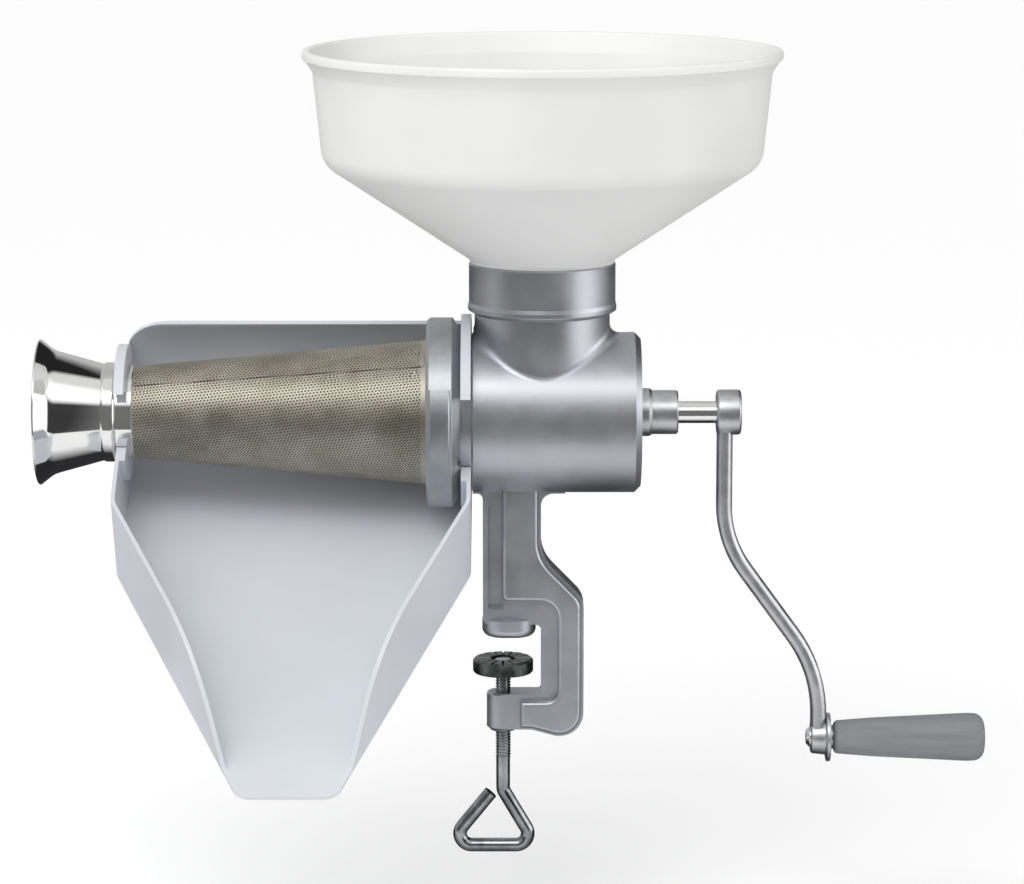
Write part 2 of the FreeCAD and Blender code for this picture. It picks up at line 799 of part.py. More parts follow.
def chute():
    """Hood, floor and sides, built with the floor level and then tipped about the shaft axis."""
    outside = hood_radius + chute_wall
    reach = 2 * hood_radius
    tip_y = math.cos(math.radians(hood_angle))
    tip_z = math.sin(math.radians(hood_angle))
    middle = math.radians((hood_angle - 90) / 2)
    tip = V(0, outside * tip_y, outside * tip_z)
    bottom = V(0, 0, -outside)
    arc = Part.Arc(tip, V(0, outside * math.cos(middle), outside * math.sin(middle)), bottom).toShape()
    edge_top = wall_height - hood_radius
    lip = V(0, -floor_length, -outside)
    lip_top = V(0, -floor_length, -hood_radius)
    wall_foot = V(0, -wall_end, -hood_radius)
    wall_knee = V(0, -wall_full_to, edge_top)
    centre = V(0, 0, edge_top)
    fall = Part.BezierCurve()
    low_pole = V(0, wall_pull_low - wall_end, edge_top - wall_fall_low)
    high_pole = V(0, wall_pull_high - wall_end, edge_top - wall_fall_high)
    fall.setPoles([wall_foot, low_pole, high_pole, wall_knee])
    outer_side = Part.Wire([
        arc,
        Part.LineSegment(bottom, lip).toShape(),
        Part.LineSegment(lip, lip_top).toShape(),
        Part.LineSegment(lip_top, wall_foot).toShape(),
        fall.toShape(),
        Part.LineSegment(wall_knee, centre).toShape(),
        Part.LineSegment(centre, tip).toShape()])
    outer = Part.Face(outer_side)
    outer.translate(V(chute_left, 0, shaft_height))
    outer = outer.extrude(V(chute_right - chute_left, 0, 0))
    outer = outer.common(plan_view(0))
    inner_corners = [V(0, 0, -hood_radius), V(0, -floor_length - past, -hood_radius),
                     V(0, -floor_length - past, reach), V(0, 0, reach), V(0, 0, hood_radius)]
    inner_arc = Part.Arc(V(0, 0, hood_radius), V(0, hood_radius, 0), V(0, 0, -hood_radius)).toShape()
    inner_side = Part.Wire([inner_arc] + Part.makePolygon(inner_corners).Edges)
    inner = Part.Face(inner_side)
    inner.translate(V(chute_left, 0, shaft_height))
    inner = inner.extrude(V(chute_right - chute_left, 0, 0))
    inner = inner.common(plan_view(chute_wall))
    shell = outer.cut(inner)
    corner_low = tip.z - hood_corner
    corner_room = Part.makeBox(hood_corner, reach, hood_corner + past,
                               V(chute_left, past, above(corner_low)))
    corner_keep = Part.makeCylinder(hood_corner, reach,
                                    V(chute_left + hood_corner, past, above(corner_low)), V(0, 1, 0))
    shell = shell.cut(corner_room.cut(corner_keep))
    left_bore = band_radius + moving_gap
    right_bore = mouth_radius + moving_gap
    left_clip = clip(chute_left, left_bore, left_bore + clip_left_wall)
    right_clip = clip(chute_right - clip_width, right_bore, right_bore + clip_right_wall)
    bores = [rod_x(chute_left - past, chute_left + clip_width + past, left_bore),
             rod_x(chute_right - clip_width - past, chute_right + past, right_bore)]
    solid = shell.cut(bores).fuse([left_clip, right_clip])
    solid = solid.removeSplitter()
    solid.rotate(axis_point, V(1, 0, 0), chute_slope)
    return solid


def clip(left, bore, rim):
    """Open snap ring about the shaft axis. Its mouth faces forwards, between two flat cuts."""
    ring = rod_x(left, left + clip_width, rim)
    ring = ring.cut(rod_x(left - past, left + clip_width + past, bore))
    low = above(wall_height - hood_radius)
    high = above(clip_mouth_high / math.cos(math.radians(chute_slope)))
    reach = 2 * hood_radius
    rise = reach * math.tan(math.radians(chute_slope))
    start = left - past
    corners = [V(start, 0, low), V(start, -reach, low), V(start, -reach, high + rise), V(start, 0, high)]
    mouth = Part.Face(Part.makePolygon(corners + corners[:1]))
    return ring.cut(mouth.extrude(V(clip_width + 2 * past, 0, 0)))


def crank_arm():
    """S curved arm with an eye on the shaft and a flanged eye for the handle pin."""
    line = outline([
        (crank_arm_x, above(0), 0),
        (crank_arm_x, above(-bend_high_part * crank_radius), bend_high_round),
        (crank_end_x, above(-bend_low_part * crank_radius), bend_low_round),
        (crank_end_x, above(-crank_radius), 0)], closed=False)
    face = line.makeOffset2D(crank_arm_width / 2, 0, True, False, False)
    face.translate(V(0, -crank_depth / 2, 0))
    arm = face.extrude(V(0, crank_depth, 0))
    sides = [edge for edge in arm.Edges if edge.BoundBox.YLength < 1e-6]
    arm = arm.makeChamfer(crank_arm_bevel, sides).Solids[0]
    eye = turned([
        (crank_left, shaft_radius + running_gap, 0),
        (crank_left, crank_eye_radius, soft_break),
        (crank_right, crank_eye_radius, soft_break),
        (crank_right, shaft_radius + running_gap, 0)])
    drop = V(0, 0, crank_end_z - shaft_height)
    flange_radius = end_eye_radius + end_flange_height
    end_eye = turned([
        (end_eye_left, 0, 0),
        (end_eye_left, end_eye_radius, soft_break),
        (end_eye_right - end_flange, end_eye_radius, 0),
        (end_eye_right - end_flange, flange_radius, fine_break),
        (end_eye_right, flange_radius, fine_break),
        (end_eye_right, 0, 0)])
    end_eye.translate(drop)
    solid = arm.fuse(eye).fuse(end_eye)
    pin_bore = rod_x(end_eye_left - past, end_eye_right + past, pin_radius)
    pin_bore.translate(drop)
    shaft_bore = rod_x(crank_left - past, crank_right + past, shaft_radius + running_gap)
    for cutter in (pin_bore, shaft_bore, crank_set_screw()):
        solid = solid.cut(cutter)
    return solid


def crank_set_screw():
    middle = (crank_left + crank_right) / 2
    start = shaft_radius + running_gap
    length = crank_eye_radius - set_screw_sunk - start
    return Part.makeCylinder(set_screw_radius, length, V(middle, start, shaft_height), V(0, 1, 0))


def handle_pin():
    head_left = grip_right - grip_recess + moving_gap
    rivet_radius = pin_radius + rivet_wall
    pin = turned([
        (end_eye_left - rivet_height, 0, 0),
        (end_eye_left - rivet_height, rivet_radius, soft_break),
        (end_eye_left, rivet_radius, 0),
        (end_eye_left, pin_radius, 0),
        (head_left, pin_radius, 0),
        (head_left, pin_head_radius, fine_break),
        (head_left + pin_head_height, pin_head_radius, edge_break),
        (head_left + pin_head_height, 0, 0)])
    pin.translate(V(0, 0, crank_end_z - shaft_height))
    return pin


def handle_washer_ring():
    washer = rod_x(end_eye_right, end_eye_right + handle_washer, pin_radius + handle_washer_wall)
    washer = washer.cut(rod_x(end_eye_right - past, grip_left, pin_radius + running_gap))
    washer.translate(V(0, 0, crank_end_z - shaft_height))
    return washer


def handle_grip():
    recess_radius = pin_head_radius + grip_recess_room
    grip = turned([
        (grip_left, pin_radius + running_gap, 0),
        (grip_left, grip_small_radius, soft_break),
        (grip_left + grip_length / 4, grip_small_radius + grip_waist, 0),
        (grip_right - grip_end_length, grip_large_radius, 0),
        (grip_right, grip_large_radius - grip_end_drop, grip_round),
        (grip_right, recess_radius, fine_break),
        (grip_right - grip_recess, recess_radius, 0),
        (grip_right - grip_recess, pin_radius + running_gap, 0)])
    grip.translate(V(0, 0, crank_end_z - shaft_height))
    return grip


def clamp_screw():
    """One rod: riveted head in the pad, threaded length through the boss, and a bent loop."""
    head_bottom = pad_top - pad_recess
    stem = turned_upright([
        (0, head_bottom + screw_head_height, 0),
        (screw_head_radius, head_bottom + screw_head_height, edge_break),
        (screw_head_radius, head_bottom, 0),
        (neck_pin_radius, head_bottom, 0),
        (neck_pin_radius, pad_bottom, 0),
        (thread_radius, pad_bottom, fine_break),
        (thread_radius, thread_bottom, fine_break / 2),
        (0, thread_bottom, 0)], 0)
    start = thread_bottom + past
    path = outline([
        (0, start, 0),
        (0, loop_top, loop_top_round),
        (loop_right, loop_bottom, loop_round),
        (loop_left, loop_bottom, loop_round),
        (loop_end_x, loop_end_z, 0)], closed=False)
    profile = Part.Wire(Part.makeCircle(rod_radius, V(0, 0, start), V(0, 0, 1)))
    loop = path.makePipeShell([profile], True, False)
    solid = stem.fuse(loop).removeSplitter()
    solid.translate(V(clamp_x, 0, 0))
    return solid


def clamp_pad():
    """Toothed disc on top of the screw, with a recess for the screw's riveted head."""
    rim_bottom = pad_top - pad_rim
    recess_floor = pad_top - pad_recess
    pad = turned_upright([
        (neck_pin_radius + running_gap, pad_bottom, 0),
        (pad_foot_radius, pad_bottom, edge_break),
        (pad_radius, rim_bottom, edge_break),
        (pad_radius, pad_top, pad_chamfer / 2),
        (pad_recess_radius, pad_top, fine_break),
        (pad_recess_radius, recess_floor, 0),
        (neck_pin_radius + running_gap, recess_floor, 0)], 0)
    start = pad_recess_radius + edge_break
    high = pad_top + fine_break
    corners = [V(start, -tooth_half_width, high), V(start, tooth_half_width, high),
               V(start, 0, pad_top - tooth_depth)]
    groove = Part.Face(Part.makePolygon(corners + corners[:1])).extrude(V(pad_radius, 0, 0))
    for i in range(pad_teeth):
        turned_groove = groove.copy()
        turned_groove.rotate(V(0, 0, 0), V(0, 0, 1), 360 * i / pad_teeth)
        pad = pad.cut(turned_groove)
    pad.translate(V(clamp_x, 0, 0))
    return pad


pieces = {
    "body_casting": body_casting,
    "bayonet_studs": bayonet_studs,
    "locking_ring": locking_ring,
    "screen_gasket": screen_gasket,
    "screen_cone": screen_cone,
    "screen_band": screen_band,
    "exit_flare": exit_flare,
    "chute": chute,
    "hopper": hopper,
    "shaft_bushing": shaft_bushing,
    "shaft_seal": shaft_seal,
    "thrust_washer": thrust_washer,
    "drive_shaft": drive_shaft,
    "spiral": spiral,
    "spiral_drive_pin": spiral_drive_pin,
    "spiral_spring": spiral_spring,
    "crank_arm": crank_arm,
    "crank_set_screw": crank_set_screw,
    "handle_pin": handle_pin,
    "handle_washer": handle_washer_ring,
    "handle_grip": handle_grip,
    "clamp_screw": clamp_screw,
    "clamp_pad": clamp_pad,
}

os.makedirs("parts", exist_ok=True)
for name, make in pieces.items():
    shape = make()
    if not shape.isValid():
        raise ValueError(name + " is not a valid shape")
    shape.exportStep("parts/" + name + ".step")
    print(name, len(shape.Solids), round(shape.Volume / 1000, 2), "cm3")
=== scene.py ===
import json
import math

import bmesh
import bpy
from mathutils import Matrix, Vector


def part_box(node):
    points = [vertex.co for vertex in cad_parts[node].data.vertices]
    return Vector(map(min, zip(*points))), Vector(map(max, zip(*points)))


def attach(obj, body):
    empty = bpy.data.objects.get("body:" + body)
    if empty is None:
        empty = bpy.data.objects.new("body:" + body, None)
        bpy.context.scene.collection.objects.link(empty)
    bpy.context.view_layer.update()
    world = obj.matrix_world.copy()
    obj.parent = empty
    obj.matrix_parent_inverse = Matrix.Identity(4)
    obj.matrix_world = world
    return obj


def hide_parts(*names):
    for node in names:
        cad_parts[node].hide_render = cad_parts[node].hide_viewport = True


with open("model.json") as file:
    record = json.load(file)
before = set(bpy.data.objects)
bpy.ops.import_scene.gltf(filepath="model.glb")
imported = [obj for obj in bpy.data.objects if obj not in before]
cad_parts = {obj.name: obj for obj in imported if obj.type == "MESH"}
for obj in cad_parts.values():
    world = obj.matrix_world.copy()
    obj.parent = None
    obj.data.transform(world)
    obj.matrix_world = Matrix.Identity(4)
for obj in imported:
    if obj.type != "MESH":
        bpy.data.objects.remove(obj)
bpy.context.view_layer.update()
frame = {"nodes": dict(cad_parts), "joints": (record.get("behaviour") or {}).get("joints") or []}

bl_info = {
    "name": "Hand cranked tomato strainer",
    "version": (1, 0, 0),
    "blender": (4, 5, 0),
    "location": "View3D > Sidebar > Strainer",
    "description": "Builds the looks of a hand cranked tomato strainer around its frame",
    "category": "Object",
}

MM = 0.001


def axis_height(joint):
    """Height in metres of a joint's axis at rest."""
    return next(j["pos_m"][2] for j in frame["joints"] if j["name"] == joint)


SHAFT_Z = axis_height("crank_spin")
PIN_Z = axis_height("handle_spin")

FULL_TURN = 2 * math.pi
SPOKES = 96                 # steps round a turned piece
FINE_SPOKES = 128           # round the hopper and the flare
ROD_SPOKES = 48             # round the clamp screw
THREAD_STEPS = 24           # in one turn of the thread
CORNER_STEP = 9.0           # degrees between two points of an outline's rounded corner
SHARP_ANGLE = 32.0          # degrees, edges past this are shaded sharp
TURNED_MERGE = 0.0005       # mm, points of a turned form that are nearer become one
CAD_MERGE = 0.001           # mm, the same for a copied CAD mesh
CAD_FLAT_ANGLE = 0.6        # degrees, facets of a copied CAD mesh that are flatter are joined

# The thread's profile, as shares of its pitch
THREAD_FLANK = 0.36
THREAD_CREST = 0.18

# The perforated stretch of the screen, in mm along the shaft
HOLES_LEFT = -183.5
HOLES_RIGHT = -40.9
HOLES_FADE = 0.3
SCREEN_LEAN = 0.0902        # sine of the cone's half angle

# Sockets of a Mix node that is set to colours
MIX_FACTOR = 0
MIX_FIRST = 6
MIX_SECOND = 7
MIX_RESULT = 2

WHITE = (1, 1, 1, 1)


def tone(red, green, blue):
    """Linear colour of an sRGB colour given from 0 to 255."""
    def linear(value):
        value = value / 255
        return value / 12.92 if value <= 0.04045 else ((value + 0.055) / 1.055) ** 2.4
    return (linear(red), linear(green), linear(blue), 1.0)


def shade(colour, share):
    """Darker kind of a colour."""
    return tuple(c * share for c in colour[:3]) + (1.0,)


class Wire:
    """A socket of a material's nodes. Arithmetic on it adds Math nodes."""

    def __init__(self, graph, socket):
        self.graph = graph
        self.socket = socket

    def __add__(self, other):
        return self.graph.maths("ADD", self, other)

    def __sub__(self, other):
        return self.graph.maths("SUBTRACT", self, other)

    def __mul__(self, other):
        return self.graph.maths("MULTIPLY", self, other)

    def __truediv__(self, other):
        return self.graph.maths("DIVIDE", self, other)

    def __radd__(self, other):
        return self.graph.maths("ADD", other, self)

    def __rsub__(self, other):
        return self.graph.maths("SUBTRACT", other, self)

    def __rmul__(self, other):
        return self.graph.maths("MULTIPLY", other, self)

    def __rtruediv__(self, other):
        return self.graph.maths("DIVIDE", other, self)

    def other(self, name):
        """Another output of the same node."""
        return Wire(self.graph, self.socket.node.outputs[name])


class Graph:
    """Builds the nodes of one material or world."""

    def __init__(self, tree):
        self.tree = tree
        tree.nodes.clear()

    def node(self, kind, settings=None, inputs=None, output=0):
        """Adds a node, sets it and links it. Returns one of its outputs, where it has any."""
        node = self.tree.nodes.new(kind)
        for name, value in (settings or {}).items():
            setattr(node, name, value)
        for name, value in (inputs or {}).items():
            socket = node.inputs[name]
            if isinstance(value, Wire):
                self.tree.links.new(value.socket, socket)
            else:
                socket.default_value = value
        return Wire(self, node.outputs[output]) if len(node.outputs) else None

    def maths(self, operation, *values):
        return self.node("ShaderNodeMath", {"operation": operation}, dict(enumerate(values)))

    def place(self):
        """The piece's own Object coordinates, in metres."""
        return self.node("ShaderNodeTexCoord", output="Object")

    def split(self, vector):
        wire = self.node("ShaderNodeSeparateXYZ", inputs={0: vector})
        return wire, wire.other("Y"), wire.other("Z")

    def noise(self, vector, scale, detail, roughness):
        return self.node("ShaderNodeTexNoise", inputs={
            "Vector": vector, "Scale": scale, "Detail": detail, "Roughness": roughness})

    def streaks(self, vector, scale, detail, roughness):
        """Noise with its own scale along each axis."""
        drawn = self.node("ShaderNodeMapping", inputs={"Vector": vector, "Scale": scale})
        return self.noise(drawn, 1.0, detail, roughness)

    def spread(self, value, low, high, start=0.0, end=1.0):
        """Maps value from low..high onto start..end, held at both ends."""
        return self.node("ShaderNodeMapRange", inputs={
            "Value": value, "From Min": low, "From Max": high, "To Min": start, "To Max": end})

    def blend(self, factor, first, second):
        """Mix of two colours."""
        return self.node("ShaderNodeMix", {"data_type": "RGBA"}, {
            MIX_FACTOR: factor, MIX_FIRST: first, MIX_SECOND: second}, MIX_RESULT)

    def bump(self, height, distance, strength, normal=None):
        """Relief from a height, with its distance in millimetres, over another normal if given."""
        inputs = {"Height": height, "Distance": distance * MM, "Strength": strength}
        if normal is not None:
            inputs["Normal"] = normal
        return self.node("ShaderNodeBump", inputs=inputs)

    def surface(self, **inputs):
        named = {name.replace("_", " "): value for name, value in inputs.items()}
        shader = self.node("ShaderNodeBsdfPrincipled", inputs=named)
        self.node("ShaderNodeOutputMaterial", inputs={"Surface": shader})

    def clouded(self, cloud, share, dark, light, rough, normal, **constants):
        """Surface that goes from dark to light over a share of the cloud, rougher where light."""
        self.surface(Base_Color=self.blend(self.spread(cloud, *share), dark, light),
                     Roughness=self.spread(cloud, 0.3, 0.7, *rough), Normal=normal, **constants)


def finish(build):
    """The material that a function builds, named after it and built once."""
    name = build.__name__.replace("_", " ")
    material = bpy.data.materials.get(name)
    if material is None:
        material = bpy.data.materials.new(name)
        material.use_nodes = True
        build(Graph(material.node_tree))
    return material


def cast_metal(graph):
    """Aluminium as it was cast, with pits under its grain."""
    place = graph.place()
    pits = graph.bump(graph.noise(place, 260.0, 2.0, 0.5), 0.12, 0.3)
    grain = graph.bump(graph.noise(place, 900.0, 3.0, 0.6), 0.04, 0.4, pits)
    colour = look().cast
    graph.clouded(graph.noise(place, 38.0, 4.0, 0.55), share=(0.35, 0.68), dark=shade(colour, 0.82),
                  light=colour, rough=(0.38, 0.48), normal=grain, Metallic=1.0)


def ring_metal(graph):
    place = graph.place()
    grain = graph.bump(graph.noise(place, 1100.0, 3.0, 0.6), 0.07, 0.5)
    colour = look().ring
    graph.clouded(graph.noise(place, 55.0, 4.0, 0.6), share=(0.35, 0.68), dark=shade(colour, 0.78),
                  light=colour, rough=(0.38, 0.50), normal=grain, Metallic=1.0)


def polished_steel(graph):
    """Mirror bright, with faint smears along the shaft."""
    smear = graph.streaks(graph.place(), (30.0, 140.0, 140.0), 4.0, 0.6)
    graph.surface(
        Base_Color=graph.blend(graph.spread(smear, 0.3, 0.8), look().bright, tone(232, 232, 230)),
        Roughness=graph.spread(smear, 0.35, 0.75, 0.045, 0.11), Metallic=1.0)


def plated_steel(graph):
    place = graph.place()
    grain = graph.bump(graph.noise(place, 1500.0, 2.0, 0.5), 0.04, 0.4)
    graph.clouded(graph.noise(place, 120.0, 4.0, 0.6), share=(0.3, 0.75),
                  dark=tone(120, 122, 126), light=tone(176, 177, 180), rough=(0.22, 0.38),
                  normal=grain, Metallic=1.0)


def satin_steel(graph):
    """Drawn bar of the crank, a little dull."""
    place = graph.place()
    grain = graph.bump(graph.streaks(place, (900.0, 900.0, 90.0), 3.0, 0.6), 0.03, 0.4)
    graph.clouded(graph.noise(place, 90.0, 4.0, 0.6), share=(0.3, 0.75),
                  dark=tone(178, 179, 182), light=tone(212, 212, 213), rough=(0.32, 0.44),
                  normal=grain, Metallic=1.0)


def rod_steel(graph):
    """Bright rod of the clamp screw, clouded by grease and wear."""
    place = graph.place()
    grain = graph.bump(graph.streaks(place, (900.0, 900.0, 160.0), 3.0, 0.6), 0.03, 0.4)
    graph.clouded(graph.noise(place, 120.0, 4.0, 0.6), share=(0.3, 0.75),
                  dark=tone(112, 114, 118), light=tone(178, 179, 183), rough=(0.12, 0.24),
                  normal=grain, Metallic=1.0)


def pad_iron(graph):
    """Dark iron of the toothed pad, worn brighter in patches."""
    place = graph.place()
    grain = graph.bump(graph.noise(place, 1300.0, 2.0, 0.5), 0.06, 0.5)
    graph.clouded(graph.noise(place, 150.0, 4.0, 0.65), share=(0.35, 0.72),
                  dark=tone(60, 66, 64), light=tone(112, 117, 114), rough=(0.28, 0.46),
                  normal=grain, Metallic=1.0)


def perforated_steel(graph):
    """Sheet with staggered holes, laid out on the flattened cone so that they keep their size. The
    holes are coloured dark, as painted shade of the inside seen through them.
    """
    sizes = look()
    place = graph.place()
    x, y, z = graph.split(place)
    up = z - SHAFT_Z
    reach = graph.maths("SQRT", y * y + up * up) / SCREEN_LEAN
    turn = graph.maths("ARCTAN2", y, up) * SCREEN_LEAN
    across = reach * graph.maths("COSINE", turn)
    along = reach * graph.maths("SINE", turn)
    pitch = sizes.hole_pitch
    row = pitch * math.sqrt(3)

    def cell(value, size, shift):
        """Offset from the middle of the cell that holds the value."""
        share = value / size + shift
        return (share - graph.maths("FLOOR", share) - 0.5) * size

    def nearest(shift):
        first = cell(across, pitch, shift)
        second = cell(along, row, shift)
        return graph.maths("SQRT", first * first + second * second)

    distance = graph.maths("MINIMUM", nearest(0.0), nearest(0.5))
    half = sizes.hole_size / 2
    left = graph.spread(x, HOLES_LEFT * MM, (HOLES_LEFT + HOLES_FADE) * MM)
    right = graph.spread(x, (HOLES_RIGHT - HOLES_FADE) * MM, HOLES_RIGHT * MM, 1.0, 0.0)
    hole = graph.spread(distance, half * 0.8, half * 1.15, 1.0, 0.0) * left * right
    cloud = graph.noise(place, 42.0, 4.0, 0.65)
    sheet = graph.blend(graph.spread(cloud, 0.35, 0.7), sizes.screen_dark, sizes.screen)
    # The holes get a dark colour: painted shade of the screen's inside seen through them.
    graph.surface(Base_Color=graph.blend(hole, sheet, tone(62, 60, 52)),
                  Roughness=graph.spread(cloud, 0.3, 0.7, 0.42, 0.54),
                  Metallic=1.0 - hole * 0.7, Normal=graph.bump(1.0 - hole, 0.4, 0.8))


def moulded_plastic(graph, colour, depth):
    """Thin translucent moulding with faint clouds. Depth is how much light goes under its skin."""
    place = graph.place()
    grain = graph.bump(graph.noise(place, 1400.0, 2.0, 0.5), 0.05, 0.4)
    graph.clouded(graph.noise(place, 16.0, 3.0, 0.5), share=(0.3, 0.7), dark=shade(colour, 0.95),
                  light=colour, rough=(0.36, 0.48), normal=grain, Subsurface_Weight=depth,
                  Subsurface_Radius=(0.006, 0.006, 0.0055), Subsurface_Scale=1.0)


def hopper_plastic(graph):
    moulded_plastic(graph, look().hopper, 0.5)


# The chute is the hopper's white plastic. Its colour is set darker, as painted shade of the chute's
# floor.
def chute_plastic_painted_shade(graph):
    moulded_plastic(graph, look().chute, 0.12)


def grip_plastic(graph):
    place = graph.place()
    grain = graph.bump(graph.noise(place, 1300.0, 3.0, 0.6), 0.12, 0.6)
    colour = look().grip
    graph.clouded(graph.streaks(place, (20.0, 260.0, 260.0), 4.0, 0.6), share=(0.3, 0.75),
                  dark=shade(colour, 0.72), light=colour, rough=(0.46, 0.62), normal=grain)


def bearing_plastic(graph):
    """Off white plastic of the spiral and the washer behind it."""
    place = graph.place()
    cloud = graph.noise(place, 60.0, 3.0, 0.5)
    grain = graph.noise(place, 1200.0, 2.0, 0.5)
    graph.surface(Base_Color=graph.blend(cloud, tone(214, 213, 208), tone(232, 231, 226)),
                  Roughness=graph.spread(cloud, 0.3, 0.7, 0.38, 0.5),
                  Normal=graph.bump(grain, 0.05, 0.4))


def seal_rubber(graph):
    cloud = graph.noise(graph.place(), 300.0, 3.0, 0.5)
    graph.surface(Base_Color=graph.blend(cloud, tone(22, 22, 23), tone(44, 44, 45)),
                  Roughness=graph.spread(cloud, 0.3, 0.7, 0.6, 0.8),
                  Normal=graph.bump(cloud, 0.1, 0.5))


def kept(items, kind):
    """The vertices or the edges among an operator's results."""
    return [item for item in items if isinstance(item, kind)]


class Shape:
    """A bmesh that grows by turned and swept forms, in millimetres until it is finished."""

    def __init__(self):
        self.bm = bmesh.new()

    def outline(self, corners, plot, closed):
        """Wire through corners (a, b, rounding), placed by plot, with its corners rounded.
        Returns its vertices and edges."""
        before = set(self.bm.verts)
        count = len(corners)
        points = [Vector(plot(a, b)) for a, b, rounding in corners]
        verts = [self.bm.verts.new(point) for point in points]
        for i in range(count if closed else count - 1):
            self.bm.edges.new((verts[i], verts[(i + 1) % count]))
        ends = () if closed else (0, count - 1)
        for i, (a, b, rounding) in enumerate(corners):
            if rounding <= 0 or i in ends:
                continue
            arriving = (points[i] - points[i - 1]).normalized()
            leaving = (points[(i + 1) % count] - points[i]).normalized()
            turn = arriving.angle(leaving)
            bmesh.ops.bevel(
                self.bm, geom=[verts[i]], offset=rounding * math.tan(turn / 2),
                offset_type="OFFSET", segments=max(2, round(math.degrees(turn) / CORNER_STEP)),
                profile=0.5, material=-1, affect="VERTICES")
        fresh = [v for v in self.bm.verts if v not in before]
        return fresh, [e for e in self.bm.edges if e.verts[0] not in before]

    def turned(self, corners, plot, centre, axis, spokes):
        """Full turn of an outline about an axis. One that starts and ends on it is left open."""
        closed = corners[0][1] != 0 or corners[-1][1] != 0
        before = set(self.bm.verts)
        verts, edges = self.outline(corners, plot, closed)
        bmesh.ops.spin(self.bm, geom=verts + edges, cent=centre, axis=axis, angle=FULL_TURN,
                       steps=spokes, use_merge=True)
        fresh = [v for v in self.bm.verts if v not in before]
        bmesh.ops.remove_doubles(self.bm, verts=fresh, dist=TURNED_MERGE)

    def along_shaft(self, corners, height=SHAFT_Z / MM, spokes=SPOKES):
        """Turned about the shaft, or a line along it at a height, from (x, radius, rounding)."""
        self.turned(corners, lambda a, b: (a, 0, height + b), (0, 0, height), (1, 0, 0), spokes)

    def upright(self, corners, centre, spokes):
        """Turned about an upright axis at X centre, from corners (z, radius, rounding)."""
        self.turned(corners, lambda a, b: (centre + b, 0, a), (centre, 0, 0), (0, 0, 1), spokes)

    def section(self, x, z, half_wide, half_deep, rounding):
        """Rounded rectangle across an upright bar, which a sweep starts from."""
        corners = [(-half_wide, -half_deep, rounding), (half_wide, -half_deep, rounding),
                   (half_wide, half_deep, rounding), (-half_wide, half_deep, rounding)]
        return self.outline(corners, lambda a, b: (x + a, b, z), True)

    def sweep(self, section, path, arc_step):
        """Carries a section along a path of corners (x, z, rounding) in the XZ plane and caps
        both ends. One step round a corner is about arc_step degrees."""
        verts, edges = section
        self.cap(edges)
        points = [Vector((x, 0, z)) for x, z, rounding in path]
        here = points[0]
        for i in range(1, len(points)):
            rounding = path[i][2]
            if rounding == 0:
                verts, edges = self.pushed(edges, points[i] - here)
                here = points[i]
                continue
            arriving = (points[i] - points[i - 1]).normalized()
            leaving = (points[i + 1] - points[i]).normalized()
            turn = arriving.angle(leaving)
            reach = rounding * math.tan(turn / 2)
            verts, edges = self.pushed(edges, points[i] - arriving * reach - here)
            inward = (leaving - arriving).normalized()
            made = bmesh.ops.spin(
                self.bm, geom=verts + edges, angle=turn,
                cent=points[i] + inward * (rounding / math.cos(turn / 2)),
                axis=arriving.cross(leaving).normalized(),
                steps=max(2, round(math.degrees(turn) / arc_step)))
            edges = kept(made["geom_last"], bmesh.types.BMEdge)
            here = points[i] + leaving * reach
        self.cap(edges)

    def thread(self, centre, low, high, root, crest, pitch):
        """Helical ridge about an upright axis, from low to high, with both ends capped."""
        flank = THREAD_FLANK * pitch
        flat = THREAD_CREST * pitch
        verts, edges = self.outline([
            (root, low, 0), (crest, low + flank, 0), (crest, low + flank + flat, 0),
            (root, low + flank + flat + flank, 0)], lambda a, b: (centre + a, 0, b), True)
        self.cap(edges)
        turns = (high - low) / pitch - 1
        made = bmesh.ops.spin(
            self.bm, geom=verts + edges, cent=(centre, 0, 0), axis=(0, 0, 1),
            angle=FULL_TURN * turns, steps=round(turns * THREAD_STEPS),
            dvec=(0, 0, pitch / THREAD_STEPS))
        self.cap(kept(made["geom_last"], bmesh.types.BMEdge))

    def pushed(self, edges, step):
        """Extrudes edges by a step. Returns the vertices and edges at its far end."""
        made = bmesh.ops.extrude_edge_only(self.bm, edges=edges)["geom"]
        verts = kept(made, bmesh.types.BMVert)
        bmesh.ops.translate(self.bm, verts=verts, vec=step)
        fresh = set(verts)
        return verts, [e for e in kept(made, bmesh.types.BMEdge) if fresh.issuperset(e.verts)]

    def cap(self, edges):
        bmesh.ops.edgeloop_fill(self.bm, edges=edges)

    def copy_of(self, node):
        """Takes over a CAD node's own mesh, merged, with its flat facets joined."""
        self.bm.from_mesh(frame["nodes"][node].data)
        bmesh.ops.remove_doubles(self.bm, verts=self.bm.verts[:], dist=CAD_MERGE * MM)
        bmesh.ops.dissolve_limit(self.bm, angle_limit=math.radians(CAD_FLAT_ANGLE),
                                 verts=self.bm.verts[:], edges=self.bm.edges[:])
        bmesh.ops.scale(self.bm, vec=(1 / MM,) * 3, verts=self.bm.verts[:])

    def piece(self, name, body, slot, build, node, recalculate=True):
        """Makes the object, in metres, fixes it to its body and lets it replace a CAD node."""
        bmesh.ops.scale(self.bm, vec=(MM,) * 3, verts=self.bm.verts[:])
        if recalculate:
            bmesh.ops.recalc_face_normals(self.bm, faces=self.bm.faces[:])
        mesh = bpy.data.meshes.new(name)
        self.bm.to_mesh(mesh)
        self.bm.free()
        mesh.shade_smooth()
        mesh.set_sharp_from_angle(angle=math.radians(SHARP_ANGLE))
        mesh.materials.append(finish(build))
        made = bpy.data.objects.new(name, mesh)
        bpy.context.scene.collection.objects.link(made)
        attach(made, body)
        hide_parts(node)
        return made


